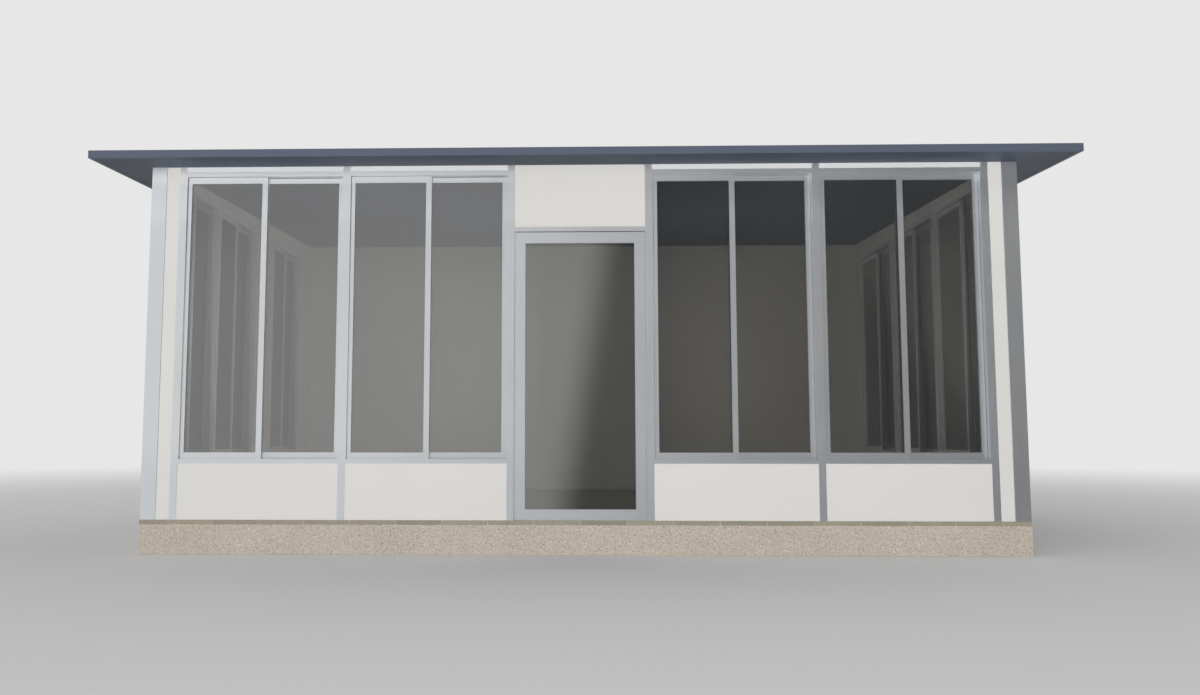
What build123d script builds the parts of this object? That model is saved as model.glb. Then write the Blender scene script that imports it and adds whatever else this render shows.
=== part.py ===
from build123d import *
import os
from math import atan, cos, sin

os.makedirs("parts", exist_ok=True)

# A free-standing sunroom in millimetres. X runs along the front wall, Y from the front to the
# rear and Z up. The origin is on the ground, under the middle of the room.

# Base: a concrete slab with a layer of floor tiles on it
slab_height = 212.0
tile_thickness = 32.0
slab_margin = 1.0

# Walls: extruded mullions and corner posts with insulated panels between them
wall_thickness = 114.3
mullion_face = 50.8
mullion_flange = 2.5
mullion_web = 16.0
post_wall = 4.0
post_corner_radius = 3.0
knee_height = 403.4
window_height = 2145.1
front_header_height = 38.7

# Widths of the bays, clear between the mullions
front_filler = 96.7
front_window = 1168.4
door_bay = 955.6
right_window = 1168.4
right_front_filler = 182.0
right_rear_filler = 62.0
left_window = 952.2
left_rear_filler = 379.0
rear_panel_count = 5

# Clearances
fit = 0.3
panel_end_gap = 2.0
door_gap = 5.0

# Sliding windows: a double track frame, the outer sash on the left as seen from outside
frame_depth = 97.0
frame_left_jamb = 6.5
frame_right_jamb = 4.0
track_plate = 16.0
track_lip = 9.0
track_divider = 6.0
head_height = 34.5
sill_height = 32.0
sill_plate = 20.0
sill_upstand = 45.0
sill_cover_gap = 3.0
outer_sash_setback = 12.0
sash_spacing = 45.0
sash_depth = 28.0
sash_side_gap = 10.0
inner_sash_side_gap = 6.0
sash_head_gap = 4.0
sash_stile = 28.0
inner_sash_stile = 37.6
meeting_stile = 41.0
inner_meeting_stile = 29.0
meeting_offset = 12.0
outer_top_rail = 46.0
inner_top_rail = 38.0
sash_bottom_rail = 57.3
sash_glass = 6.0
glass_setback = 10.0
glass_rebate = 8.0
rebate_end_gap = 1.0
interlock_thickness = 2.0
interlock_reach = 12.0
interlock_inset = 12.0

# Door: a full glass leaf near the outer face of the wall, which swings inward
door_head_bottom = 2090.3
door_head_height = 34.5
threshold_height = 3.0
threshold_depth = 90.0
leaf_setback = 8.0
leaf_thickness = 45.0
leaf_stile = 75.5
leaf_top_rail = 81.4
leaf_bottom_rail = 70.0
door_glass_thickness = 24.0
hinge_height = 90.0
hinge_plate_width = 30.0
hinge_plate_thickness = 3.0
hinge_barrel_radius = 6.0
hinge_pin_radius = 3.0
hinge_play = 0.05
hinge_end_inset = 180.0

# Roof: insulated panels in a folded fascia, a little higher at the rear
roof_slope = 0.032
roof_overhang = 328.6
roof_panel_thickness = 51.4
roof_panel_count = 6
fascia_sheet = 2.0
fascia_flange = 35.0

# Sizes worked out from these
floor_level = slab_height + tile_thickness
corner_post = wall_thickness
width = 2 * (corner_post + front_filler) + 6 * mullion_face + 4 * front_window + door_bay
depth = 2 * corner_post + right_front_filler + right_rear_filler + 4 * mullion_face + 3 * right_window
left_middle_filler = depth - 2 * corner_post - 5 * mullion_face - 3 * left_window - left_rear_filler
panel_thickness = wall_thickness - 2 * (mullion_flange + fit)
channel_depth = (mullion_face - mullion_web) / 2
panel_insert = channel_depth - panel_end_gap
window_top = knee_height + window_height
wall_height = window_top + front_header_height
roof_angle = atan(roof_slope)
tall = wall_height + roof_slope * (depth + wall_thickness) + wall_thickness

# The planes of the walls: X along the wall to the right as seen from outside, Y into the wall
front_wall = Plane(origin=(-width / 2, -depth / 2, floor_level), x_dir=(1, 0, 0), z_dir=(0, 0, 1))
right_wall = Plane(origin=(width / 2, -depth / 2, floor_level), x_dir=(0, 1, 0), z_dir=(0, 0, 1))
left_wall = Plane(origin=(-width / 2, depth / 2, floor_level), x_dir=(0, -1, 0), z_dir=(0, 0, 1))
rear_wall = Plane(origin=(width / 2, depth / 2, floor_level), x_dir=(-1, 0, 0), z_dir=(0, 0, 1))

# The plane of the roof's underside, which cuts the tops of all walls
soffit = Plane(
    origin=(0, -depth / 2, floor_level + wall_height), x_dir=(1, 0, 0), z_dir=(0, -roof_slope, 1)
)


def lay_out(pieces):
    """Places the pieces of a wall one after another, from corner post to corner post."""
    spans = {"mullion": [], "window": [], "filler": [], "door": []}
    start = corner_post
    for kind, size in pieces:
        spans[kind].append((start, start + size))
        start += size
    return spans


mullion = ("mullion", mullion_face)
front_bay = ("window", front_window)
right_bay = ("window", right_window)
left_bay = ("window", left_window)
front = lay_out([
    ("filler", front_filler), mullion, front_bay, mullion, front_bay, mullion, ("door", door_bay),
    mullion, front_bay, mullion, front_bay, mullion, ("filler", front_filler),
])
right = lay_out([
    ("filler", right_front_filler), mullion, right_bay, mullion, right_bay, mullion, right_bay,
    mullion, ("filler", right_rear_filler),
])
left = lay_out([
    ("filler", left_rear_filler), mullion, left_bay, mullion, ("filler", left_middle_filler),
    mullion, left_bay, mullion, left_bay, mullion,
])
walls = {"front": (front_wall, front), "right": (right_wall, right), "left": (left_wall, left)}
wall_lengths = {"front": width, "right": depth, "left": depth}


def section(wall, along, height):
    """A plane across a wall: X into the wall and Y up, facing along the wall."""
    origin = wall.from_local_coords(Vector(along, 0, height))
    return Plane(origin=origin, x_dir=wall.y_dir, z_dir=wall.x_dir)


def elevation(wall, setback):
    """A plane parallel to a wall's outer face: X along the wall and Y up, facing outward."""
    origin = wall.from_local_coords(Vector(0, setback, 0))
    return Plane(origin=origin, x_dir=wall.x_dir, z_dir=-wall.y_dir)


def save(part, name):
    """Labels a finished piece and writes it."""
    part.label = name
    export_step(part, f"parts/{name}.step")


def upright_panels(wall, spans, bottom, top):
    """Panels that stand in a wall, each over its own span, cut along the roof where they reach it."""
    with BuildPart() as panels:
        with BuildSketch(wall.offset(bottom)):
            for start, end in spans:
                with Locations(((start + end) / 2, wall_thickness / 2)):
                    Rectangle(end - start, panel_thickness)
        extrude(amount=min(top, tall) - bottom)
        if top >= tall:
            split(bisect_by=soffit, keep=Keep.BOTTOM)
    return panels.part


def in_channels(spans):
    """The spans of panels whose two edges stand in the channels of mullions."""
    return [(start - panel_insert, end + panel_insert) for start, end in spans]


def filler_spans(wall_length, spans):
    """Fillers stand in a mullion's channel, and butt against a corner post at the wall's ends."""
    result = []
    for start, end in spans:
        left_end = start if abs(start - corner_post) < fit else start - panel_insert
        right_end = end if abs(end - wall_length + corner_post) < fit else end + panel_insert
        result.append((left_end, right_end))
    return result


# Base slab
with BuildPart() as base_slab:
    with BuildSketch():
        Rectangle(width + 2 * slab_margin, depth + 2 * slab_margin)
    extrude(amount=slab_height)
save(base_slab.part, "base_slab")

# Floor tiles
with BuildPart() as floor_tiles:
    with BuildSketch(Plane.XY.offset(slab_height)):
        Rectangle(width + 2 * slab_margin, depth + 2 * slab_margin)
    extrude(amount=tile_thickness)
save(floor_tiles.part, "floor_tiles")

# Corner posts: hollow square extrusions, cut along the roof
post_x = (width - corner_post) / 2
post_y = (depth - corner_post) / 2
for name, x, y in (
    ("front_left_corner_post", -post_x, -post_y),
    ("front_right_corner_post", post_x, -post_y),
    ("rear_left_corner_post", -post_x, post_y),
    ("rear_right_corner_post", post_x, post_y),
):
    with BuildPart() as post:
        with BuildSketch(Plane.XY.offset(floor_level)):
            with Locations((x, y)):
                RectangleRounded(corner_post, corner_post, post_corner_radius)
                Rectangle(corner_post - 2 * post_wall, corner_post - 2 * post_wall, mode=Mode.SUBTRACT)
        extrude(amount=tall)
        split(bisect_by=soffit, keep=Keep.BOTTOM)
    save(post.part, name)

# Mullions: extrusions of H section whose channels hold the panels and window frames
for side, (wall, spans) in walls.items():
    with BuildPart() as mullions:
        with BuildSketch(wall):
            for start, end in spans["mullion"]:
                with Locations(((start + end) / 2, wall_thickness / 2)):
                    Rectangle(mullion_web, wall_thickness)
                for flange_middle in (mullion_flange / 2, wall_thickness - mullion_flange / 2):
                    with Locations(((start + end) / 2, flange_middle)):
                        Rectangle(mullion_face, mullion_flange)
        extrude(amount=tall)
        split(bisect_by=soffit, keep=Keep.BOTTOM)
    save(mullions.part, f"{side}_mullions")

# White panels: knee panels below the windows, header panels above them and fillers beside them
for side, (wall, spans) in walls.items():
    save(upright_panels(wall, in_channels(spans["window"]), 0, knee_height), f"{side}_knee_panels")
    save(upright_panels(wall, in_channels(spans["window"]), window_top, tall), f"{side}_header_panels")
    fillers = filler_spans(wall_lengths[side], spans["filler"])
    save(upright_panels(wall, fillers, 0, tall), f"{side}_filler_panels")
door_transom_bottom = door_head_bottom + door_head_height
save(upright_panels(front_wall, in_channels(front["door"]), door_transom_bottom, tall), "door_transom_panel")

# Rear wall: full panels side by side between the rear corner posts
with BuildPart() as rear_wall_panels:
    rear_panel_width = (width - 2 * corner_post) / rear_panel_count
    for number in range(rear_panel_count):
        with BuildSketch(rear_wall):
            with Locations((corner_post + (number + 0.5) * rear_panel_width, wall_thickness / 2)):
                Rectangle(rear_panel_width - fit, wall_thickness)
        extrude(amount=tall)
    split(bisect_by=soffit, keep=Keep.BOTTOM)
save(rear_wall_panels.part, "rear_wall_panels")


def window_frames(wall, spans):
    """Double track frames with jambs that stand in the mullions' channels.

    A cover closes the outer track of the sill beside the outer sash.
    """
    divider_start = outer_sash_setback + (sash_spacing + sash_depth - track_divider) / 2
    with BuildPart() as frames:
        for start, end in spans:
            span = end - start
            cover_start = (start + end + meeting_stile) / 2 + sill_cover_gap
            with BuildSketch(wall.offset(knee_height)):
                for edge, inward, jamb in ((start, 1, frame_left_jamb), (end, -1, frame_right_jamb)):
                    with Locations((edge - inward * panel_insert / 2, wall_thickness / 2)):
                        Rectangle(panel_insert, panel_thickness)
                    with Locations((edge + inward * jamb / 2, frame_depth / 2)):
                        Rectangle(jamb, frame_depth)
            extrude(amount=window_height)
            with BuildSketch(wall.offset(knee_height)):
                with Locations((cover_start, 0)):
                    Rectangle(end - cover_start, divider_start, align=(Align.MIN, Align.MIN))
            extrude(amount=sill_height)
            with BuildSketch(section(wall, start, window_top)):
                with Locations((0, -track_plate)):
                    Rectangle(frame_depth, track_plate, align=(Align.MIN, Align.MIN))
                for lip_start, lip in ((0, track_lip), (frame_depth - track_divider, track_divider)):
                    with Locations((lip_start, -head_height)):
                        Rectangle(lip, head_height, align=(Align.MIN, Align.MIN))
                with Locations((divider_start, -head_height)):
                    Rectangle(track_divider, head_height, align=(Align.MIN, Align.MIN))
            extrude(amount=span)
            with BuildSketch(section(wall, start, knee_height)):
                Rectangle(frame_depth, sill_plate, align=(Align.MIN, Align.MIN))
                Rectangle(track_lip, sill_height, align=(Align.MIN, Align.MIN))
                with Locations((divider_start, 0)):
                    Rectangle(track_divider, sill_height, align=(Align.MIN, Align.MIN))
                with Locations((frame_depth - track_divider, 0)):
                    Rectangle(track_divider, sill_upstand, align=(Align.MIN, Align.MIN))
            extrude(amount=span)
    return frames.part


def framed_glass(wall, setback, outer, opening, frame_depth_here, glass_thickness, glass_face):
    """A frame with a rebate all round its opening, and the pane that stands in the rebate."""
    frame_size = (outer[1] - outer[0], outer[3] - outer[2])
    frame_middle = ((outer[0] + outer[1]) / 2, (outer[2] + outer[3]) / 2)
    clear_size = (opening[1] - opening[0], opening[3] - opening[2])
    clear_middle = ((opening[0] + opening[1]) / 2, (opening[2] + opening[3]) / 2)
    with BuildPart() as frame:
        with BuildSketch(elevation(wall, setback)):
            with Locations(frame_middle):
                Rectangle(*frame_size)
            with Locations(clear_middle):
                Rectangle(*clear_size, mode=Mode.SUBTRACT)
        extrude(amount=-frame_depth_here)
        with BuildSketch(elevation(wall, setback + glass_face - fit)):
            with Locations(clear_middle):
                Rectangle(clear_size[0] + 2 * glass_rebate, clear_size[1] + 2 * glass_rebate)
        extrude(amount=-(glass_thickness + 2 * fit), mode=Mode.SUBTRACT)
    pane_reach = 2 * (glass_rebate - rebate_end_gap)
    with BuildPart() as pane:
        with BuildSketch(elevation(wall, setback + glass_face)):
            with Locations(clear_middle):
                Rectangle(clear_size[0] + pane_reach, clear_size[1] + pane_reach)
        extrude(amount=-glass_thickness)
    return frame.part, pane.part


def interlock(wall, along, setback, bottom, top):
    """A thin upright fin on a meeting stile, which closes the gap between the two sashes."""
    with BuildPart() as fin:
        with BuildSketch(wall.offset(bottom)):
            with Locations((along, setback)):
                Rectangle(interlock_thickness, interlock_reach, align=(Align.CENTER, Align.MIN))
        extrude(amount=top - bottom)
    return fin.part


# Sliding windows
sash_bottom = knee_height + sill_plate + fit
sash_top = window_top - head_height - sash_head_gap
glass_bottom = sash_bottom + sash_bottom_rail
inner_sash_setback = outer_sash_setback + sash_spacing
fin_bottom = knee_height + sill_height + sash_head_gap
for side, (wall, spans) in walls.items():
    save(window_frames(wall, spans["window"]), f"{side}_window_frames")
    outer_frames = []
    inner_frames = []
    panes = []
    for start, end in spans["window"]:
        middle = (start + end) / 2
        meeting_left = middle - meeting_stile / 2
        meeting_right = middle + meeting_stile / 2
        outer_left = start + sash_side_gap
        frame, pane = framed_glass(
            wall, outer_sash_setback,
            (outer_left, meeting_right, sash_bottom, sash_top),
            (outer_left + sash_stile, meeting_left, glass_bottom, sash_top - outer_top_rail),
            sash_depth, sash_glass, glass_setback,
        )
        fin_left = meeting_right - interlock_inset
        fin = interlock(wall, fin_left, outer_sash_setback + sash_depth, fin_bottom, sash_top)
        with BuildPart() as outer_sash:
            add(frame)
            add(fin)
        outer_frames.append(outer_sash.part)
        panes.append(pane)
        inner_right = end - inner_sash_side_gap
        inner_meeting_right = meeting_right - meeting_offset
        inner_meeting_left = inner_meeting_right - inner_meeting_stile
        frame, pane = framed_glass(
            wall, inner_sash_setback,
            (inner_meeting_left, inner_right, sash_bottom, sash_top),
            (inner_meeting_right, inner_right - inner_sash_stile, glass_bottom, sash_top - inner_top_rail),
            sash_depth, sash_glass, glass_setback,
        )
        fin_right = inner_meeting_left + interlock_inset
        fin = interlock(wall, fin_right, inner_sash_setback - interlock_reach, fin_bottom, sash_top)
        with BuildPart() as inner_sash:
            add(frame)
            add(fin)
        inner_frames.append(inner_sash.part)
        panes.append(pane)
    save(Compound(children=outer_frames), f"{side}_outer_sashes")
    save(Compound(children=inner_frames), f"{side}_inner_sashes")
    save(Compound(children=panes), f"{side}_window_glass")

# Doorway: a head, a threshold and two jambs that fill the channels of the mullions beside it
door_start, door_end = front["door"][0]
with BuildPart() as door_head:
    with BuildSketch(front_wall.offset(door_head_bottom)):
        with Locations(((door_start + door_end) / 2, wall_thickness / 2)):
            Rectangle(door_bay, wall_thickness)
    extrude(amount=door_head_height)
save(door_head.part, "door_head")

with BuildPart() as door_threshold:
    with BuildSketch(section(front_wall, door_start, 0)):
        with Locations((leaf_setback, 0)):
            Rectangle(threshold_depth, threshold_height, align=(Align.MIN, Align.MIN))
    extrude(amount=door_bay)
save(door_threshold.part, "door_threshold")

for name, edge in (("door_left_jamb", door_start), ("door_right_jamb", door_end + panel_insert)):
    with BuildPart() as jamb:
        with BuildSketch(front_wall):
            with Locations((edge - panel_insert / 2, wall_thickness / 2)):
                Rectangle(panel_insert, panel_thickness)
        extrude(amount=door_transom_bottom - fit)
    save(jamb.part, name)

# Door leaf
leaf_left = door_start + door_gap
leaf_right = door_end - door_gap
leaf_bottom = threshold_height + door_gap
leaf_top = door_head_bottom - door_gap
leaf_frame, leaf_pane = framed_glass(
    front_wall, leaf_setback,
    (leaf_left, leaf_right, leaf_bottom, leaf_top),
    (
        leaf_left + leaf_stile, leaf_right - leaf_stile,
        leaf_bottom + leaf_bottom_rail, leaf_top - leaf_top_rail,
    ),
    leaf_thickness, door_glass_thickness, (leaf_thickness - door_glass_thickness) / 2,
)
save(leaf_frame, "door_leaf_frame")
save(leaf_pane, "door_glass")

# Door hinges behind the leaf: plates on the jamb with two outer knuckles and a pin, and
# plates on the leaf's inner face with one middle knuckle that turns on the pin
leaf_back = leaf_setback + leaf_thickness
hinge_axis_x = door_start + hinge_barrel_radius
hinge_axis_y = leaf_back + hinge_barrel_radius
knuckle_clearance = hinge_barrel_radius + fit
knuckle_height = hinge_height / 3
hinge_levels = (
    leaf_bottom + hinge_end_inset,
    (leaf_bottom + leaf_top) / 2,
    leaf_top - hinge_end_inset,
)
with BuildPart() as frame_hinges:
    for level in hinge_levels:
        low = level - hinge_height / 2
        with BuildSketch(front_wall.offset(low)):
            with Locations((hinge_axis_x, hinge_axis_y)):
                Circle(hinge_pin_radius)
        extrude(amount=hinge_height)
        for knuckle_low in (low, low + 2 * knuckle_height):
            with BuildSketch(front_wall.offset(knuckle_low)):
                with Locations((hinge_axis_x, hinge_axis_y)):
                    Circle(hinge_barrel_radius)
                with Locations((door_start, hinge_axis_y)):
                    Rectangle(hinge_plate_thickness, hinge_plate_width, align=(Align.MIN, Align.MIN))
            extrude(amount=knuckle_height)
        with BuildSketch(front_wall.offset(low)):
            with Locations((door_start, hinge_axis_y + knuckle_clearance)):
                Rectangle(
                    hinge_plate_thickness, hinge_plate_width - knuckle_clearance,
                    align=(Align.MIN, Align.MIN),
                )
        extrude(amount=hinge_height)
save(frame_hinges.part, "frame_hinges")

with BuildPart() as leaf_hinges:
    for level in hinge_levels:
        low = level - hinge_height / 2
        with BuildSketch(front_wall.offset(low + knuckle_height + fit)):
            with Locations((hinge_axis_x, hinge_axis_y)):
                Circle(hinge_barrel_radius)
            with Locations((hinge_axis_x, leaf_back)):
                Rectangle(hinge_plate_width, hinge_plate_thickness, align=(Align.MIN, Align.MIN))
            with Locations((hinge_axis_x, hinge_axis_y)):
                Circle(hinge_pin_radius + hinge_play, mode=Mode.SUBTRACT)
        extrude(amount=knuckle_height - 2 * fit)
        with BuildSketch(front_wall.offset(low)):
            with Locations((hinge_axis_x + knuckle_clearance, leaf_back)):
                Rectangle(
                    hinge_plate_width - knuckle_clearance, hinge_plate_thickness,
                    align=(Align.MIN, Align.MIN),
                )
        extrude(amount=hinge_height)
save(leaf_hinges.part, "leaf_hinges")

# Roof: panels side by side, laid on the walls
roof_thickness = roof_panel_thickness + 2 * fascia_sheet
roof_width = width + 2 * roof_overhang
roof_length = (depth + 2 * roof_overhang) / cos(roof_angle)
roof_middle = (depth / 2 + roof_panel_thickness / 2 * sin(roof_angle)) / cos(roof_angle)
roof_plane = Plane(
    origin=soffit.from_local_coords(Vector(0, roof_middle, 0)), x_dir=(1, 0, 0), z_dir=soffit.z_dir
)
panel_field_width = roof_width - 2 * fascia_sheet
roof_panel_width = panel_field_width / roof_panel_count
with BuildPart() as roof_panels:
    for number in range(roof_panel_count):
        panel_x = (number + 0.5) * roof_panel_width - panel_field_width / 2
        with BuildSketch(roof_plane):
            with Locations((panel_x, 0)):
                Rectangle(roof_panel_width - fit, roof_length - 2 * fascia_sheet)
        extrude(amount=roof_panel_thickness)
save(roof_panels.part, "roof_panels")

# Fascias: folded sheet round the roof's edges, mitred at the corners
half_width = roof_width / 2
half_length = roof_length / 2
corners = {
    "front_fascia": ((-1, -1), (1, -1)),
    "right_fascia": ((1, -1), (1, 1)),
    "rear_fascia": ((1, 1), (-1, 1)),
    "left_fascia": ((-1, 1), (-1, -1)),
}
for name, ((x1, y1), (x2, y2)) in corners.items():
    with BuildPart() as fascia:
        with BuildSketch(roof_plane.offset(-fascia_sheet)):
            with BuildLine():
                Polyline(
                    (x1 * half_width, y1 * half_length),
                    (x2 * half_width, y2 * half_length),
                    (x2 * (half_width - fascia_flange), y2 * (half_length - fascia_flange)),
                    (x1 * (half_width - fascia_flange), y1 * (half_length - fascia_flange)),
                    close=True,
                )
            make_face()
        extrude(amount=roof_thickness)
        with BuildSketch(roof_plane):
            Rectangle(roof_width - 2 * fascia_sheet, roof_length - 2 * fascia_sheet)
        extrude(amount=roof_panel_thickness, mode=Mode.SUBTRACT)
    save(fascia.part, name)
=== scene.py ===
"""Materials, floor tiles and seals of a free-standing sunroom, and the studio that it stands in."""

import math
import random

import bmesh
import bpy
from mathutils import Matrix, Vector


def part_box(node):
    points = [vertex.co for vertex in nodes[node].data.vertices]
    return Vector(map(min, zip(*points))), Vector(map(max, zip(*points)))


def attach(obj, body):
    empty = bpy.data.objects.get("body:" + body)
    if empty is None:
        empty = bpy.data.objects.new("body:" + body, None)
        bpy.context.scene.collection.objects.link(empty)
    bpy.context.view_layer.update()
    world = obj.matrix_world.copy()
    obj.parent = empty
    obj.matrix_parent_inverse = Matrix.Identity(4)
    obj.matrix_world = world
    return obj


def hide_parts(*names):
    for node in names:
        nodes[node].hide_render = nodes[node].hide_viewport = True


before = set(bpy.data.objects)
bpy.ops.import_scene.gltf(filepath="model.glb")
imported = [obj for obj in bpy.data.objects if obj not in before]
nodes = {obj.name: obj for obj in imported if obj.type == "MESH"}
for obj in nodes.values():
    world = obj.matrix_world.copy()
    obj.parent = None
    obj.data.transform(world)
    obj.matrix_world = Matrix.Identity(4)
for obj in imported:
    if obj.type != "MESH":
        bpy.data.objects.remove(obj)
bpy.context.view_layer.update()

# Floor tiles, in metres
tile_pitch = 0.331
tile_joint = 0.004
tile_edge = 0.0015
smallest_tile = 0.02
grout_depth = 0.003

# Brushes on the meeting stiles of the windows, and seals round the door leaf, in metres
seal_gap = 0.0006
brush_thickness = 0.006
brush_end_gap = 0.01
stile_depth = 0.028
glass_clearance = 0.0008
seal_depth = 0.016
seal_setback = 0.002
seal_bevel = 0.0005
strike_gap = 0.0022

# Where surfaces change, in metres: heights on the walls, and distances from the middle of the roof
wall_span = (0.25, 2.80)
lip_span = (2.68, 2.88)
lip_depth = 0.010
overhang_span = (2.9, 3.25)

# The painted sheen inside the right windows, a pale painted reflection, reaches lower towards the front, by
# this slope
sheen_slope = -0.49
sheen_span = (1.15, 2.0)

# Drawing lines of the extrusions: how close they lie across and along, and their depth in metres
line_stretch = (60.0, 60.0, 1.2)
line_depth = 0.00003

# Least share of a face's direction along an axis for it to count as turned that way, and how near
# to the closing side of a sash its face lies, in metres
squarely = 0.9
side_reach = 0.001

# Shared colours and values of the glass
white = (1.0, 1.0, 1.0)
background = (0.80, 0.80, 0.80)
frame_colour = (0.585, 0.605, 0.625)
panel_colour = (0.715, 0.70, 0.67)
mirror_ior = 2.44
plain_ior = 1.5
window_alpha = 0.72
door_alpha = 0.67
slanted_alpha = 0.94


# Small helpers for colours and node trees

def shade(colour, amount):
    """A colour made lighter or darker."""
    return tuple(channel * amount for channel in colour)


def greys(*stops):
    """Ramp stops in plain grey, from pairs of place and level."""
    return [(place, shade(white, level)) for place, level in stops]


def feed(tree, value, socket):
    """Links an output to a socket, or sets a plain number or colour on it."""
    if isinstance(value, float):
        socket.default_value = value
    elif isinstance(value, tuple):
        socket.default_value = (*value, 1.0)
    else:
        tree.links.new(value, socket)


def socket_of(sockets, identifier):
    """The socket with an identifier, where several share a name."""
    return next(socket for socket in sockets if socket.identifier == identifier)


def new_material(name):
    """A material with one Principled shader; gives the tree, the shader and the object coordinates."""
    material = bpy.data.materials.new(name)
    material.use_nodes = True
    tree = material.node_tree
    shader = tree.nodes["Principled BSDF"]
    coordinates = tree.nodes.new("ShaderNodeTexCoord").outputs["Object"]
    return material, tree, shader, coordinates


def axes_of(tree, vector):
    """The X, Y and Z values of a vector."""
    node = tree.nodes.new("ShaderNodeSeparateXYZ")
    tree.links.new(vector, node.inputs["Vector"])
    return node.outputs


def stretched(tree, vector, scale):
    """Coordinates scaled along each axis."""
    mapping = tree.nodes.new("ShaderNodeMapping")
    mapping.inputs["Scale"].default_value = scale
    tree.links.new(vector, mapping.inputs["Vector"])
    return mapping.outputs["Vector"]


def noise(tree, vector, scale, detail=3.0):
    """A noise value round 0.5."""
    node = tree.nodes.new("ShaderNodeTexNoise")
    node.inputs["Scale"].default_value = scale
    node.inputs["Detail"].default_value = detail
    tree.links.new(vector, node.inputs["Vector"])
    return node.outputs["Fac"]


def grains(tree, vector, scale):
    """Random grains: one random value for each cell."""
    node = tree.nodes.new("ShaderNodeTexVoronoi")
    node.inputs["Scale"].default_value = scale
    tree.links.new(vector, node.inputs["Vector"])
    split = tree.nodes.new("ShaderNodeSeparateColor")
    tree.links.new(node.outputs["Color"], split.inputs["Color"])
    return split.outputs["Red"]


def computed(tree, operation, *values):
    """The result of a calculation on values, each an output or a plain number."""
    node = tree.nodes.new("ShaderNodeMath")
    node.operation = operation
    for socket, value in zip(node.inputs, values):
        feed(tree, value, socket)
    return node.outputs["Value"]


def ranged(tree, value, span, result=(0.0, 1.0), smooth=False):
    """Maps a value from one span to another, held at its ends."""
    node = tree.nodes.new("ShaderNodeMapRange")
    node.interpolation_type = "SMOOTHSTEP" if smooth else "LINEAR"
    for name, number in zip(("From Min", "From Max", "To Min", "To Max"), (*span, *result)):
        node.inputs[name].default_value = number
    tree.links.new(value, node.inputs["Value"])
    return node.outputs["Result"]


def ramp(tree, value, stops):
    """A colour ramp with stops of (place, colour)."""
    node = tree.nodes.new("ShaderNodeValToRGB")
    elements = node.color_ramp.elements
    while len(elements) < len(stops):
        elements.new(0.5)
    for element, (place, colour) in zip(elements, stops):
        element.position = place
        element.color = (*colour, 1.0)
    tree.links.new(value, node.inputs["Fac"])
    return node.outputs["Color"]


def varied(tree, value, colour, spread):
    """A colour that a noise value makes darker and lighter by a share of itself."""
    return ramp(tree, value, [(0.3, shade(colour, 1.0 - spread)), (0.7, shade(colour, 1.0 + spread))])


def mixed(tree, factor, first, second, blend="MIX"):
    """Mixes two colours."""
    node = tree.nodes.new("ShaderNodeMix")
    node.data_type = "RGBA"
    node.blend_type = blend
    for identifier, value in (("Factor_Float", factor), ("A_Color", first), ("B_Color", second)):
        feed(tree, value, socket_of(node.inputs, identifier))
    return socket_of(node.outputs, "Result_Color")


def multiplied(tree, colour, *layers):
    """A colour multiplied by one layer after another."""
    for layer in layers:
        colour = mixed(tree, 1.0, colour, layer, "MULTIPLY")
    return colour


def set_surface(tree, shader, colour, roughness):
    """Sets the colour and the roughness of a shader."""
    tree.links.new(colour, shader.inputs["Base Color"])
    feed(tree, roughness, shader.inputs["Roughness"])


def bumped(tree, shader, height, distance, strength):
    """Bump from a height value, with its depth in metres."""
    node = tree.nodes.new("ShaderNodeBump")
    node.inputs["Distance"].default_value = distance
    node.inputs["Strength"].default_value = strength
    tree.links.new(height, node.inputs["Height"])
    tree.links.new(node.outputs["Normal"], shader.inputs["Normal"])


def set_output(tree, factor, first, second, output):
    """Mixes two shaders into what a tree's output shows."""
    mix = tree.nodes.new("ShaderNodeMixShader")
    for socket, value in zip(mix.inputs, (factor, first, second)):
        tree.links.new(value, socket)
    tree.links.new(mix.outputs["Shader"], tree.nodes[output].inputs["Surface"])


# Materials

def aluminium(name, colour):
    """Satin mill-finish aluminium: drawing lines along the extrusion, faint clouds, painted light and shade
    by height.

    The colour is painted a little darker low on the wall and much brighter at its top: painted shade below
    and a painted highlight under the eaves. The last hand's breadth leans out by a few degrees, as a drip lip
    does.
    """
    material, tree, shader, place = new_material(name)
    height = axes_of(tree, place)["Z"]
    rise = ranged(tree, height, wall_span)
    lines = noise(tree, stretched(tree, place, line_stretch), scale=6.0, detail=2.0)
    clouds = noise(tree, place, scale=1.7)
    # Painted shade near the bottom of the wall and a painted highlight towards its top, standing in for light
    painted_light = ramp(tree, rise, [
        *greys((0.0, 0.93), (0.14, 0.95), (0.21, 1.0), (0.83, 1.0), (0.875, 1.09), (0.92, 1.11)),
        (0.953, (1.22, 1.22, 1.21)), (0.977, (1.44, 1.43, 1.41)), (1.0, (1.64, 1.62, 1.58)),
    ])
    metal = multiplied(tree, varied(tree, clouds, colour, 0.03), varied(tree, lines, white, 0.04), painted_light)
    set_surface(tree, shader, metal, ranged(tree, lines, (0.25, 0.75), (0.34, 0.42)))
    tree.links.new(ranged(tree, rise, (0.83, 1.0), (0.72, 0.88)), shader.inputs["Metallic"])
    lip = ranged(tree, height, lip_span, (0.0, lip_depth), smooth=True)
    bumped(tree, shader, computed(tree, "MULTIPLY_ADD", lines, line_depth, lip), distance=1.0, strength=1.0)
    return material


def inner_aluminium(name, colour):
    """The same aluminium, paler, less metallic and without the height shading, for the room side; on the
    closing sides of the front outer sashes its pale colour is painted light in a shaded gap.
    """
    material, tree, shader, place = new_material(name)
    lines = noise(tree, stretched(tree, place, line_stretch), scale=6.0, detail=2.0)
    roughness = ranged(tree, lines, (0.25, 0.75), (0.36, 0.44))
    set_surface(tree, shader, varied(tree, lines, colour, 0.04), roughness)
    shader.inputs["Metallic"].default_value = 0.3
    bumped(tree, shader, lines, distance=0.00004, strength=0.5)
    return material


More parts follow.
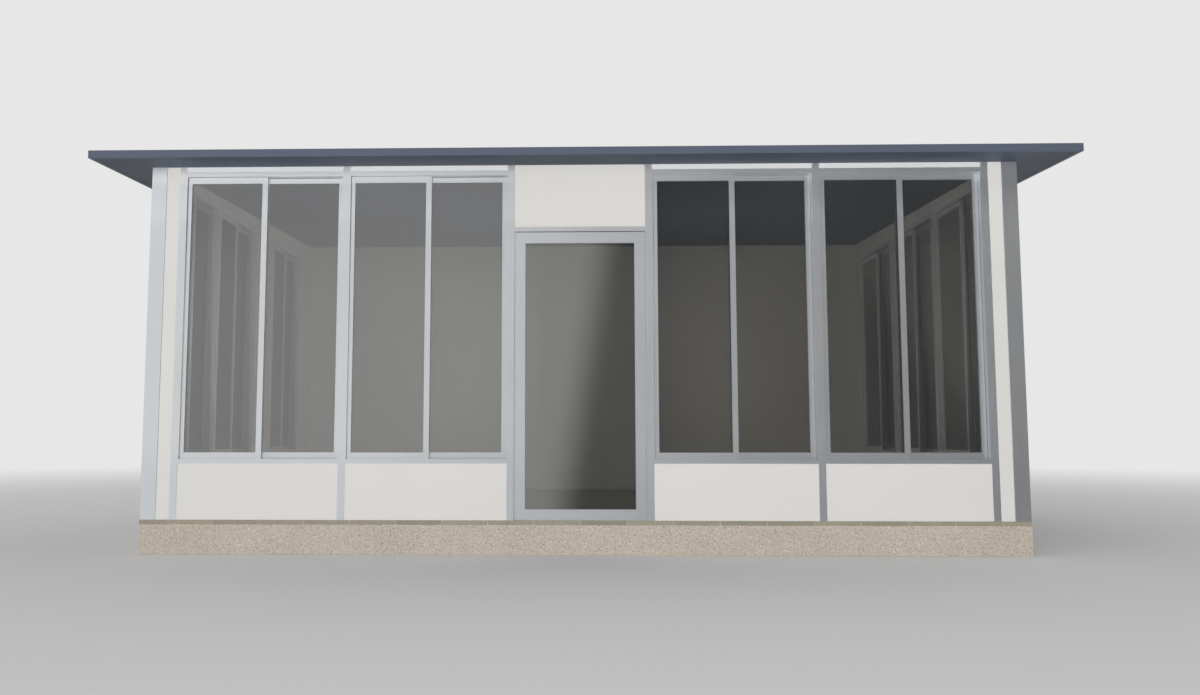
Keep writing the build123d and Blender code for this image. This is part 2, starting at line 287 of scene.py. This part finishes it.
def panel_skin(name, colour, shaded_by_height=True):
    """Painted metal skin of an insulated panel, with a fine stucco emboss, and painted light and shade by
    height where asked.
    """
    material, tree, shader, place = new_material(name)
    emboss = noise(tree, place, scale=130.0, detail=2.0)
    tone = varied(tree, noise(tree, place, scale=1.1), colour, 0.015)
    if shaded_by_height:
        rise = ranged(tree, axes_of(tree, place)["Z"], wall_span)
        # Painted light and shade by height, which evens out how the lamps and the eaves light the wall
        painted_light = ramp(tree, rise, greys(
            (0.0, 1.02), (0.353, 1.03), (0.58, 0.995), (0.69, 0.94),
            (0.84, 0.918), (0.93, 0.955), (0.99, 1.01),
        ))
        tone = multiplied(tree, tone, painted_light)
    set_surface(tree, shader, tone, ranged(tree, emboss, (0.3, 0.7), (0.50, 0.62)))
    bumped(tree, shader, emboss, distance=0.0003, strength=0.35)
    return material


def concrete():
    """Cast concrete with sandy grains of about two and five millimetres."""
    material, tree, shader, place = new_material("concrete")
    coarse = grains(tree, place, scale=190.0)
    fine = grains(tree, place, scale=420.0)
    tone = varied(tree, noise(tree, place, scale=2.2, detail=4.0), (0.525, 0.474, 0.408), 0.05)
    stones = ramp(tree, coarse, [
        (0.0, (0.42, 0.40, 0.39)), (0.08, (0.86, 0.84, 0.82)), (0.5, white),
        (0.90, (1.09, 1.09, 1.07)), (1.0, (1.45, 1.47, 1.47)),
    ])
    sand = ramp(tree, fine, [(0.0, (0.86, 0.85, 0.84)), (1.0, (1.12, 1.12, 1.12))])
    set_surface(tree, shader, multiplied(tree, tone, stones, sand), 0.9)
    bumped(tree, shader, coarse, distance=0.0008, strength=0.5)
    return material


def floor_tile():
    """Stoneware tile: each tile has its own tone, with fine flecks."""
    material, tree, shader, place = new_material("floor_tile")
    base = (0.307, 0.279, 0.212)
    tone = tree.nodes.new("ShaderNodeAttribute")
    tone.attribute_name = "tile_tone"
    flecks = grains(tree, place, scale=260.0)
    clouds = noise(tree, place, scale=9.0, detail=4.0)
    body = ramp(tree, tone.outputs["Fac"], [(0.0, shade(base, 0.90)), (1.0, shade(base, 1.10))])
    cloudy = ramp(tree, clouds, [(0.3, (0.95, 0.95, 0.94)), (0.7, (1.05, 1.05, 1.06))])
    dots = ramp(tree, flecks, [(0.0, (0.80, 0.79, 0.78)), (0.15, white), (1.0, (1.06, 1.06, 1.06))])
    roughness = ranged(tree, clouds, (0.3, 0.7), (0.42, 0.55))
    set_surface(tree, shader, multiplied(tree, body, cloudy, dots), roughness)
    bumped(tree, shader, clouds, distance=0.0004, strength=0.4)
    return material


def grout():
    """Sandy tile grout."""
    material, tree, shader, place = new_material("grout")
    sand = grains(tree, place, scale=700.0)
    set_surface(tree, shader, ramp(tree, sand, [(0.0, (0.50, 0.47, 0.40)), (1.0, (0.68, 0.65, 0.58))]), 0.95)
    bumped(tree, shader, sand, distance=0.0004, strength=0.5)
    return material


def tinted_glass(name, alpha, ior, painted_sheen=None):
    """Grey tinted glass, denser at a slant, with a painted sheen on its upper part where one is given: a pale
    colour that stands in for a reflection.
    """
    material, tree, shader, place = new_material(name)
    waves = noise(tree, place, scale=0.9, detail=1.0)
    tint = ramp(tree, waves, [(0.3, (0.018, 0.019, 0.020)), (0.7, (0.023, 0.024, 0.024))])
    if painted_sheen:
        # A painted reflection: pale colour on the upper part of the glass
        axes = axes_of(tree, place)
        reach = computed(tree, "MULTIPLY_ADD", axes["Y"], sheen_slope, axes["Z"])
        tint = mixed(tree, ranged(tree, reach, sheen_span, smooth=True), tint, painted_sheen)
    set_surface(tree, shader, tint, 0.02)
    shader.inputs["IOR"].default_value = ior
    slant = tree.nodes.new("ShaderNodeLayerWeight")
    slant.inputs["Blend"].default_value = 0.5
    density = ranged(tree, slant.outputs["Facing"], (0.25, 0.75), (alpha, slanted_alpha))
    tree.links.new(density, shader.inputs["Alpha"])
    return material


def painted(name, colour, painted_end_shade=1.0):
    """Satin paint on folded sheet metal, with a light orange peel, and painted shade past the side walls
    where asked, where the ends of the roof get more light.
    """
    material, tree, shader, place = new_material(name)
    clouds = noise(tree, place, scale=1.3)
    tone = varied(tree, clouds, colour, 0.04)
    if painted_end_shade < 1.0:
        from_middle = computed(tree, "ABSOLUTE", axes_of(tree, place)["X"])
        # Painted shade on the ends past the side walls, which get more light from the sides
        tone = mixed(tree, ranged(tree, from_middle, overhang_span), tone, shade(colour, painted_end_shade))
    set_surface(tree, shader, tone, ranged(tree, clouds, (0.3, 0.7), (0.56, 0.64)))
    bumped(tree, shader, noise(tree, place, scale=260.0, detail=1.0), distance=0.00008, strength=0.4)
    return material


def rubber(name, colour):
    """Matt synthetic rubber or pile, with a fine grain."""
    material, tree, shader, place = new_material(name)
    grain = noise(tree, place, scale=900.0, detail=2.0)
    set_surface(tree, shader, varied(tree, grain, colour, 0.1), 0.75)
    bumped(tree, shader, grain, distance=0.0002, strength=0.4)
    return material


def brushed_steel():
    """Brushed stainless steel for the hinges."""
    material, tree, shader, place = new_material("brushed_steel")
    lines = noise(tree, stretched(tree, place, (900.0, 900.0, 30.0)), scale=1.0, detail=2.0)
    tone = ramp(tree, lines, [(0.3, (0.50, 0.50, 0.51)), (0.7, (0.62, 0.62, 0.63))])
    set_surface(tree, shader, tone, ranged(tree, lines, (0.3, 0.7), (0.26, 0.38)))
    shader.inputs["Metallic"].default_value = 1.0
    return material


upright_metal = aluminium("aluminium_upright", frame_colour)
# A darker copy of the aluminium for the right corner post: painted shade, as the front lamp lights that post
# more
right_post_shaded_metal = aluminium("aluminium_right_post_painted_shade", shade(frame_colour, 0.94))
inner_metal = inner_aluminium("aluminium_inside", (0.80, 0.82, 0.83))
panel_metal = panel_skin("panel_skin", panel_colour)
header_metal = panel_skin("header_skin", (0.721, 0.728, 0.721))
window_glass = tinted_glass("window_glass", window_alpha, mirror_ior)
window_glass_inside = tinted_glass("window_glass_inside", window_alpha, plain_ior)
# The room side of the right windows has a pale painted reflection on its upper part
right_glass_inside = tinted_glass("right_glass_inside", window_alpha, mirror_ior, (0.28, 0.28, 0.265))
door_glass_inside = tinted_glass("door_glass_inside", door_alpha, plain_ior)
# The underside has painted shade past the side walls
soffit_paint = painted("soffit_paint", (0.074, 0.095, 0.144), 0.55)
fascia_paint = painted("fascia_paint", (0.076, 0.091, 0.128))
steel = brushed_steel()

node_materials = {
    "base_slab": concrete(),
    "rear_wall_panels": panel_skin("rear_wall_skin", panel_colour, shaded_by_height=False),
    # A darker copy of the panel skin over the door: painted shade, as the front lamp lights the middle more
    # than the ends
    "door_transom_panel": panel_skin("transom_skin_painted_shade", shade(panel_colour, 0.97)),
    "roof_panels": painted("roof_paint", (0.073, 0.092, 0.130)),
    "door_glass": tinted_glass("door_glass", door_alpha, mirror_ior),
    "frame_hinges": steel,
    "leaf_hinges": steel,
}
for side in ("front", "right", "left"):
    node_materials[f"{side}_knee_panels"] = panel_metal
    node_materials[f"{side}_header_panels"] = header_metal
    node_materials[f"{side}_filler_panels"] = panel_metal
    node_materials[f"{side}_window_glass"] = window_glass
for edge in ("front", "right", "rear", "left"):
    node_materials[f"{edge}_fascia"] = fascia_paint
for name, node in nodes.items():
    for material_slot in node.material_slots:
        material_slot.material = node_materials.get(name, upright_metal)
# The right corner post gets the darker copy, with painted shade
for material_slot in nodes["front_right_corner_post"].material_slots:
    material_slot.material = right_post_shaded_metal


# Single faces with a material of their own

def set_faces(name, material, chosen):
    """Gives a material to the faces of a node that a test picks out."""
    materials = nodes[name].data.materials
    if material.name not in materials:
        materials.append(material)
    place = materials.find(material.name)
    for face in nodes[name].data.polygons:
        if chosen(face):
            face.material_index = place


def solids_of(name):
    """The boxes of a node's separate solids, as pairs of low and high corners."""
    mesh = bmesh.new()
    mesh.from_mesh(nodes[name].data)
    bmesh.ops.remove_doubles(mesh, verts=mesh.verts, dist=1e-6)
    left = set(mesh.verts)
    boxes = []
    while left:
        reached = [left.pop()]
        points = []
        while reached:
            vertex = reached.pop()
            points.append(vertex.co.copy())
            for edge in vertex.link_edges:
                other = edge.other_vert(vertex)
                if other in left:
                    left.remove(other)
                    reached.append(other)
        boxes.append((
            Vector(min(point[axis] for point in points) for axis in range(3)),
            Vector(max(point[axis] for point in points) for axis in range(3)),
        ))
    mesh.free()
    return boxes


room_across = (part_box("left_window_glass")[1][0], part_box("right_window_glass")[0][0])
room_back = (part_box("front_window_glass")[1][1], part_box("rear_wall_panels")[0][1])
closing_sides = [high.x for low, high in solids_of("front_outer_sashes")]


def looks_down(face):
    """Whether a face is on an underside."""
    return face.normal.z < -squarely


def looks_in(face):
    """Whether a face turns to the middle of the room."""
    return face.normal.dot(face.center) < 0


def in_room(face):
    """Whether a face is on the room side of the glass."""
    across, back, _ = face.center
    return room_across[0] < across < room_across[1] and room_back[0] < back < room_back[1]


def closes(face):
    """Whether a face is on the side of a front outer sash that closes on the inner one."""
    near = any(abs(face.center.x - side) < side_reach for side in closing_sides)
    return near and face.normal.x > squarely


set_faces("roof_panels", soffit_paint, looks_down)
set_faces("front_window_glass", window_glass_inside, looks_in)
set_faces("left_window_glass", window_glass_inside, looks_in)
set_faces("right_window_glass", right_glass_inside, looks_in)
set_faces("door_glass", door_glass_inside, looks_in)
for name in nodes:
    if name not in node_materials:
        set_faces(name, inner_metal, in_room)
# Painted light: the pale inside metal on the closing sides of the front outer sashes lightens the shaded gap
# at the meeting stiles
set_faces("front_outer_sashes", inner_metal, closes)

# The white panel over the door stays out of the sheen and the light of the eaves
nodes["door_transom_panel"].visible_glossy = False
nodes["door_transom_panel"].visible_diffuse = False


# Pieces

def add_box(mesh, low, high, bevel=0.0):
    """Adds a box to a mesh under construction, its edges rounded where a bevel is given."""
    made = bmesh.ops.create_cube(mesh, size=1.0)
    size = high - low
    middle = (low + high) / 2
    for vertex in made["verts"]:
        vertex.co = Vector(c * s for c, s in zip(vertex.co, size)) + middle
    faces = {face for vertex in made["verts"] for face in vertex.link_faces}
    if bevel:
        edges = {edge for face in faces for edge in face.edges}
        result = bmesh.ops.bevel(mesh, geom=list(edges), offset=bevel, segments=1, affect="EDGES")
        faces = {face for vertex in result["verts"] for face in vertex.link_faces}
    return faces


def new_object(name, data, location=(0.0, 0.0, 0.0), turn=(0.0, 0.0, 0.0)):
    """Links a new object to the scene, turned by degrees about each axis."""
    made = bpy.data.objects.new(name, data)
    bpy.context.scene.collection.objects.link(made)
    made.location = location
    made.rotation_euler = [math.radians(angle) for angle in turn]
    return made


def mesh_object(name, mesh, material, **placing):
    """Makes an object of a finished mesh."""
    data = bpy.data.meshes.new(name)
    mesh.to_mesh(data)
    mesh.free()
    data.materials.append(material)
    return new_object(name, data, **placing)


def finish_piece(name, mesh, material, body):
    """Makes an object of a finished mesh, which rides on a body."""
    piece = mesh_object(name, mesh, material)
    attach(piece, body)
    return piece


def tile_edges(low, high, start):
    """The edges of a row of tiles between two ends, with a joint at start and between all tiles."""
    place = start - math.ceil((start - low) / tile_pitch) * tile_pitch
    cells = []
    while place < high:
        cells.append((max(place, low), min(place + tile_pitch, high)))
        place += tile_pitch
    half_joint = tile_joint / 2
    return [
        (first + (half_joint if first > low else 0.0), last - (half_joint if last < high else 0.0))
        for first, last in cells if last - first > smallest_tile
    ]


def add_floor_tiles():
    """The floor as single tiles, each with its own tone, on a bed of grout that shows in the joints."""
    low, high = map(Vector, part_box("floor_tiles"))
    random.seed(7)
    field = bmesh.new()
    tone_layer = field.faces.layers.float.new("tile_tone")
    for left, right in tile_edges(low.x, high.x, 0.0):
        for near, far in tile_edges(low.y, high.y, low.y):
            tone = random.random()
            for face in add_box(field, Vector((left, near, low.z)), Vector((right, far, high.z)), tile_edge):
                face[tone_layer] = tone
    tiles = finish_piece("floor_tile_field", field, floor_tile(), "room")
    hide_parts("floor_tiles")
    bed = bmesh.new()
    inset = Vector((grout_depth, grout_depth, 0.0))
    add_box(bed, low + inset, high - inset - Vector((0.0, 0.0, grout_depth)))
    finish_piece("tile_grout", bed, grout(), "room")


def end_of(box, axis, direction):
    """Where a box ends on an axis: at its high side for direction 1, at its low side for -1."""
    low, high = box
    return high[axis] if direction > 0 else low[axis]


def middle_of(box, axis):
    """The middle of a box on an axis."""
    low, high = box
    return (low[axis] + high[axis]) / 2


def add_brush(mesh, sash, panes, axis, outward, meeting):
    """Adds the brush of an outer sash, on the end where it meets the inner one, up to that one's glass."""
    along = 1 - axis
    edge = end_of(sash, along, meeting)
    beyond = [pane for pane in panes if middle_of(pane, along) * meeting > edge * meeting]
    pane = min(beyond, key=lambda box: abs(middle_of(box, along) - edge))
    stile_back = end_of(sash, axis, outward) - outward * stile_depth
    glass_face = end_of(pane, axis, outward) + outward * glass_clearance
    low = Vector((0.0, 0.0, pane[0].z + brush_end_gap))
    high = Vector((0.0, 0.0, pane[1].z - brush_end_gap))
    low[along], high[along] = sorted((edge - meeting * brush_thickness, edge - meeting * seal_gap))
    low[axis], high[axis] = sorted((stile_back, glass_face))
    add_box(mesh, low, high)


def add_meeting_brushes():
    """Pile strips on the meeting stiles, which close the gap to the inner glass."""
    brushes = bmesh.new()
    for side, axis, outward, meeting in (("front", 1, -1, 1), ("right", 0, 1, 1), ("left", 0, -1, -1)):
        panes = solids_of(f"{side}_window_glass")
        for sash in solids_of(f"{side}_outer_sashes"):
            add_brush(brushes, sash, panes, axis, outward, meeting)
    pile = finish_piece("meeting_brushes", brushes, rubber("pile", (0.72, 0.73, 0.74)), "room")
    # The inner glass mirrors the studio right up to the meeting stiles
    pile.visible_glossy = False
    nodes["front_outer_sashes"].visible_glossy = False


def add_door_seals():
    """Seals on the jambs and the threshold, which fill the gap round the closed leaf."""
    leaf_low, leaf_high = map(Vector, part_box("door_leaf_frame"))
    jamb_gap = leaf_low.x - solids_of("door_left_jamb")[0][1].x
    front = leaf_low.y + seal_setback
    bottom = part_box("door_threshold")[1][2]
    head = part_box("door_head")[0][2]
    seals = bmesh.new()
    for left, right, top in (
        (leaf_low.x - jamb_gap, leaf_low.x - seal_gap, head),
        (leaf_high.x + strike_gap, leaf_high.x + jamb_gap, head),
        (leaf_low.x, leaf_high.x, leaf_low.z - seal_gap),
    ):
        add_box(seals, Vector((left, front, bottom)), Vector((right, front + seal_depth, top)), seal_bevel)
    finish_piece("door_seals", seals, rubber("door_seal", (0.58, 0.59, 0.61)), "room")


add_floor_tiles()
add_meeting_brushes()
add_door_seals()


# Camera, fitted to the photo: its focal length in millimetres, and its shift in pixels

photo_width = 1200
shift_x, shift_y = 43.0, -13.5
tilt, pan = 5.448, 1.569

camera_data = bpy.data.cameras.new("camera")
camera_data.lens = 31.03
camera_data.sensor_width = 36.0
camera_data.sensor_fit = "HORIZONTAL"
camera_data.shift_x = shift_x / photo_width
camera_data.shift_y = shift_y / photo_width
camera_data.clip_end = 300.0
camera = new_object("camera", camera_data, location=(0.0377, -9.5537, 0.8678), turn=(90.0 + tilt, 0.0, pan))
bpy.context.scene.camera = camera


# The studio: a floor that fades into the background, soft light all round, and lamps

def add_studio_floor():
    """A large pale floor, which looks like the background far from the object."""
    material, tree, shader, place = new_material("studio_floor")
    distance = tree.nodes.new("ShaderNodeVectorMath")
    distance.operation = "LENGTH"
    tree.links.new(place, distance.inputs[0])
    fade = ranged(tree, distance.outputs["Value"], (6.0, 22.0), smooth=True)
    camera_ray = tree.nodes.new("ShaderNodeLightPath").outputs["Is Camera Ray"]
    shader.inputs["Base Color"].default_value = (0.78, 0.78, 0.78, 1.0)
    shader.inputs["Roughness"].default_value = 1.0
    shader.inputs["Specular IOR Level"].default_value = 0.0
    glow = tree.nodes.new("ShaderNodeEmission")
    feed(tree, background, glow.inputs["Color"])
    seen = computed(tree, "MULTIPLY", fade, camera_ray)
    set_output(tree, seen, shader.outputs["BSDF"], glow.outputs["Emission"], "Material Output")
    mesh = bmesh.new()
    bmesh.ops.create_circle(mesh, cap_ends=True, radius=60.0, segments=96)
    piece = mesh_object("studio_floor", mesh, material, location=(0.0, 0.0, -0.001))
    piece.visible_glossy = False


def light_studio():
    """Soft light from all sides, with a bright wall at the front left and a dim one at the front right."""
    left_level, right_level, side_level, upper_level = 1.19, 0.10, 0.60, 0.91
    wall_lean = -0.159
    world = bpy.data.worlds.new("studio")
    bpy.context.scene.world = world
    world.use_nodes = True
    tree = world.node_tree
    axes = axes_of(tree, tree.nodes.new("ShaderNodeTexCoord").outputs["Generated"])
    lean = computed(tree, "MULTIPLY_ADD", axes["Z"], wall_lean, axes["X"])
    walls = ranged(tree, lean, (-0.034, 0.014), (left_level, right_level), smooth=True)
    height = ranged(tree, axes["Z"], (0.13, 0.20), (1.0, upper_level))
    level = tree.nodes.new("ShaderNodeMix")
    feed(tree, ranged(tree, axes["Y"], (-0.1, -0.6), smooth=True), level.inputs["Factor"])
    feed(tree, side_level, level.inputs["A"])
    feed(tree, computed(tree, "MULTIPLY", walls, height), level.inputs["B"])
    light = tree.nodes["Background"]
    feed(tree, white, light.inputs["Color"])
    tree.links.new(level.outputs["Result"], light.inputs["Strength"])
    seen = tree.nodes.new("ShaderNodeBackground")
    feed(tree, background, seen.inputs["Color"])
    camera_ray = tree.nodes.new("ShaderNodeLightPath").outputs["Is Camera Ray"]
    set_output(tree, camera_ray, light.outputs["Background"], seen.outputs["Background"], "World Output")


def soft_lamp(name, place, turn, size, power, spread=180.0, colour=white):
    """A rectangular soft lamp that glass and metal don't mirror."""
    data = bpy.data.lights.new(name, "AREA")
    data.shape = "RECTANGLE"
    data.size, data.size_y = size
    data.energy = power
    data.spread = math.radians(spread)
    data.color = colour
    lamp = new_object(name, data, place, turn)
    lamp.visible_camera = False
    lamp.visible_glossy = False
    lamp.visible_transmission = False


def add_lamps():
    """A lamp in front, one that reaches under the eaves, and four that light the walls inside."""
    warm = (1.0, 0.975, 0.90)
    height = 1.75
    soft_lamp("front_lamp", (0.0, -14.0, 1.0), (90, 0, 0), (10.0, 1.8), 635.0)
    soft_lamp("eaves_lamp", (0.0, -6.6, 0.1), (122, 0, 0), (12.0, 0.5), 18.0, spread=28.0)
    for end, side, rear_x, rear_power, side_x, side_power in (
        ("left", -1, -2.0, 58.0, -0.4, 64.0),
        ("right", 1, 2.0, 44.0, 0.65, 56.0),
    ):
        soft_lamp(f"{end}_rear_lamp", (rear_x, -1.9, height), (90, 0, 0), (2.0, 1.5), rear_power, colour=warm)
        turn = (90, 0, side * -90)
        soft_lamp(f"{end}_side_lamp", (side_x, 0.1, height), turn, (1.8, 1.5), side_power, colour=warm)


add_studio_floor()
light_studio()
add_lamps()

bpy.context.scene.view_settings.view_transform = "Standard"
